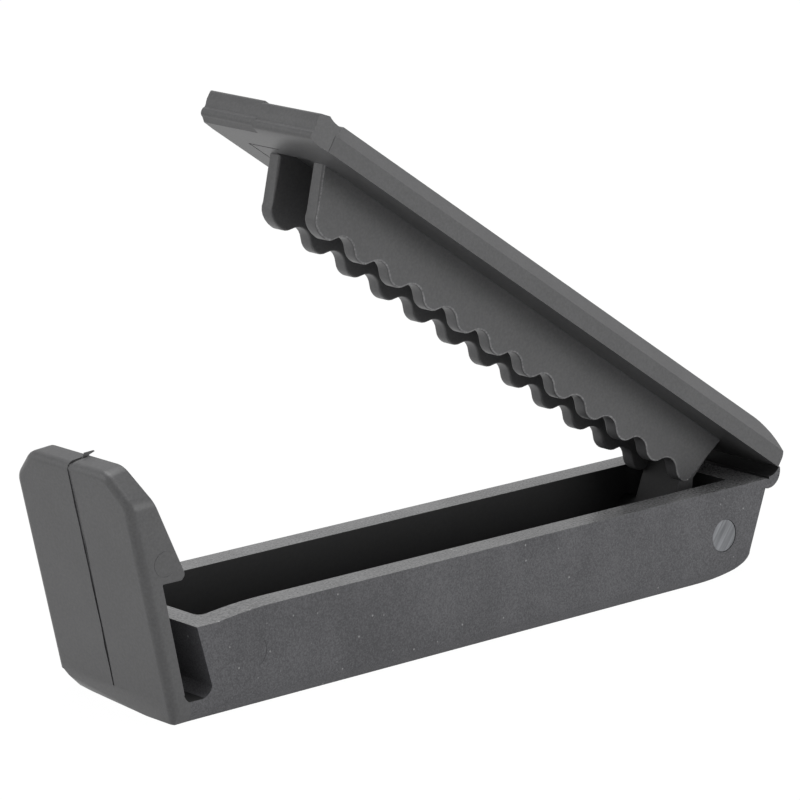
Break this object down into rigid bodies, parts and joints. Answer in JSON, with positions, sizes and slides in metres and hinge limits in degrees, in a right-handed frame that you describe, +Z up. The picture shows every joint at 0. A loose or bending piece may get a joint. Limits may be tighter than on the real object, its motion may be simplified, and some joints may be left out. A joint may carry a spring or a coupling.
{
  "type": "hinged locking clip",
  "caption": "Long hinged clip: a toothed lid folds into a trough on a cross pin and snaps under a springy catch plate.",
  "frame": {"origin": "on the flat underside, midway along the rim and between the side walls", "axes": "+X along the trough to the hinge pin, +Y along the pin, +Z up from the underside; the lid stands open at rest"},
  "size_m": [0.1026, 0.0196, 0.0646],
  "materials": {
    "grained_plastic": "dark grey moulded plastic with a fine spark-eroded grain",
    "latch_plastic": "dark grey moulded plastic, smooth satin",
    "lid_plastic": "dark grey moulded plastic, smooth satin",
    "pin_steel": "cut steel rod, dull with diagonal cutting marks on its ends"
  },
  "bodies": {
    "base": {"trough": "grained_plastic", "hinge_pin": "pin_steel"},
    "latch": {"latch_plate": "latch_plastic"},
    "lid": {"lid": "lid_plastic"}
  },
  "joints": [
    {"name": "lid_hinge", "type": "hinge", "parent": "base", "child": "lid", "pos_m": [0.03754, 0, 0.00534], "axis": [0, 1, 0], "range_deg": [-35.9, 0]},
    {"name": "latch_flex", "type": "hinge", "parent": "base", "child": "latch", "pos_m": [-0.04762, 0, 0.003], "axis": [0, -1, 0], "range_deg": [0, 14], "stiffness_Nm_per_rad": 0.4}
  ]
}
